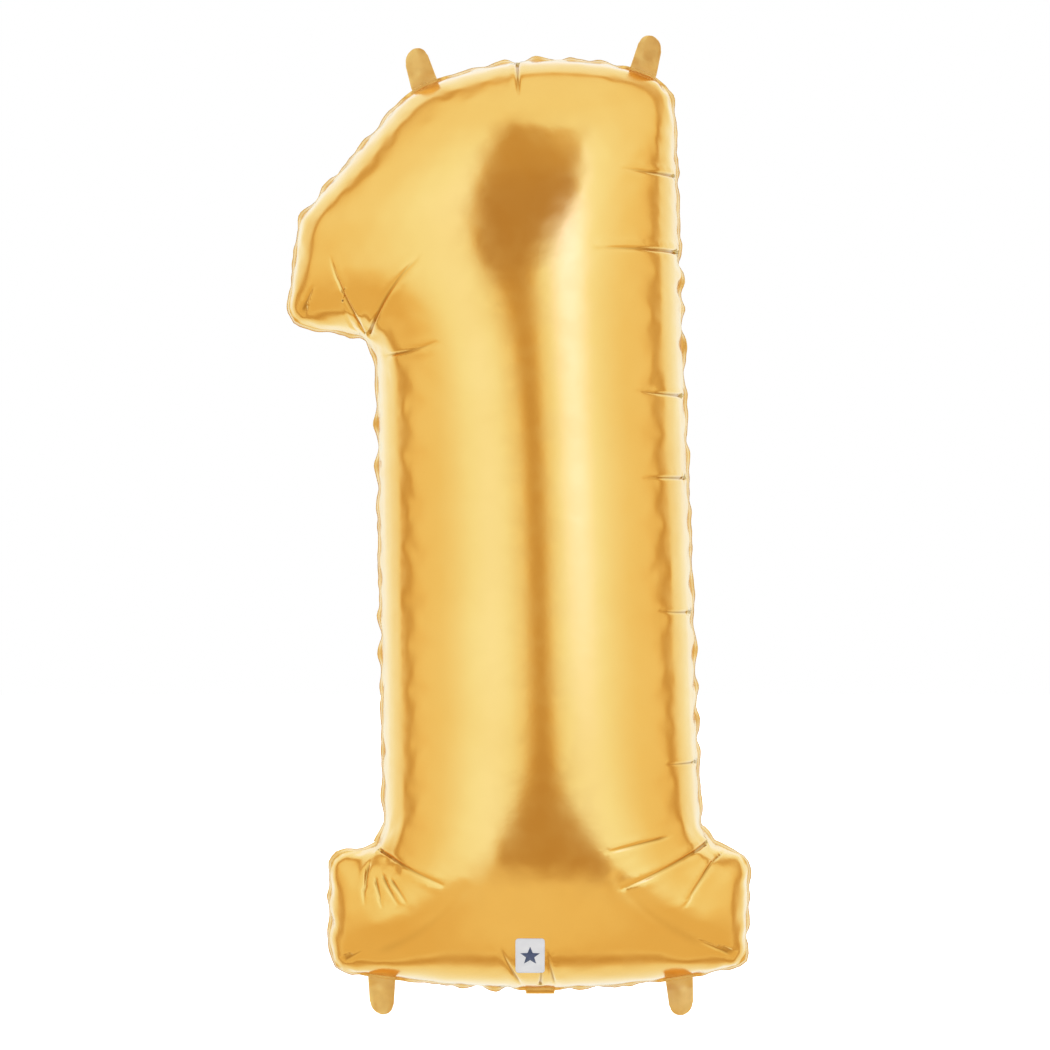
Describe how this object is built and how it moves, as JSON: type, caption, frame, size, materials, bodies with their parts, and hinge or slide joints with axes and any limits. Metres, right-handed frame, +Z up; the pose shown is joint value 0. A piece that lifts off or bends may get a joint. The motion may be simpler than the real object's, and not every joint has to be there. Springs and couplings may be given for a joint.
{
  "type": "foil number balloon",
  "caption": "Inflated gold foil balloon in the shape of the figure 1, with a welded flange, tying tabs and a folded filling neck; hung or floated.",
  "frame": {"origin": "the point the balloon hangs from: midway between the roots of the two top tabs, in the seam plane", "axes": "+Z up along the figure, +X to the right seen from the front, the front panel faces -Y"},
  "size_m": [0.4338, 0.25, 0.9166],
  "materials": {
    "gold_foil": "gloss",
    "weld_lining": "satin",
    "valve_film": "satin",
    "printed_mark": "gloss"
  },
  "bodies": {
    "envelope": {"front_panel": "gold_foil", "back_panel": "gold_foil", "seam_weld": "weld_lining", "valve_film_front": "valve_film", "valve_film_back": "valve_film"},
    "tab_top_left": {"tab_top_left": "gold_foil"},
    "tab_top_right": {"tab_top_right": "gold_foil"},
    "tab_bottom_left": {"tab_bottom_left": "gold_foil"},
    "tab_bottom_right": {"tab_bottom_right": "gold_foil"},
    "fill_neck": {"neck_film_front": "gold_foil", "neck_film_back": "gold_foil"}
  },
  "joints": [
    {"name": "fold_top_left", "type": "hinge", "parent": "envelope", "child": "tab_top_left", "pos_m": [-0.10279, 0, -0.00598], "axis": [0.8989, 0, 0.4381], "range_deg": [-90, 90], "stiffness_Nm_per_rad": 0.0001},
    {"name": "fold_top_right", "type": "hinge", "parent": "envelope", "child": "tab_top_right", "pos_m": [0.10279, 0, 0.00598], "axis": [0.9237, 0, -0.383], "range_deg": [-90, 90], "stiffness_Nm_per_rad": 0.0001},
    {"name": "fold_bottom_left", "type": "hinge", "parent": "envelope", "child": "tab_bottom_left", "pos_m": [-0.14212, 0, -0.8437], "axis": [-0.9913, 0, 0.1316], "range_deg": [-90, 90], "stiffness_Nm_per_rad": 0.0001},
    {"name": "fold_bottom_right", "type": "hinge", "parent": "envelope", "child": "tab_bottom_right", "pos_m": [0.13614, 0, -0.84472], "axis": [-0.9876, 0, -0.1573], "range_deg": [-90, 90], "stiffness_Nm_per_rad": 0.0001},
    {"name": "fold_neck", "type": "hinge", "parent": "envelope", "child": "fill_neck", "pos_m": [0.00599, 0, -0.85767], "axis": [-1, 0, 0], "range_deg": [0, 190], "stiffness_Nm_per_rad": 0.002}
  ]
}
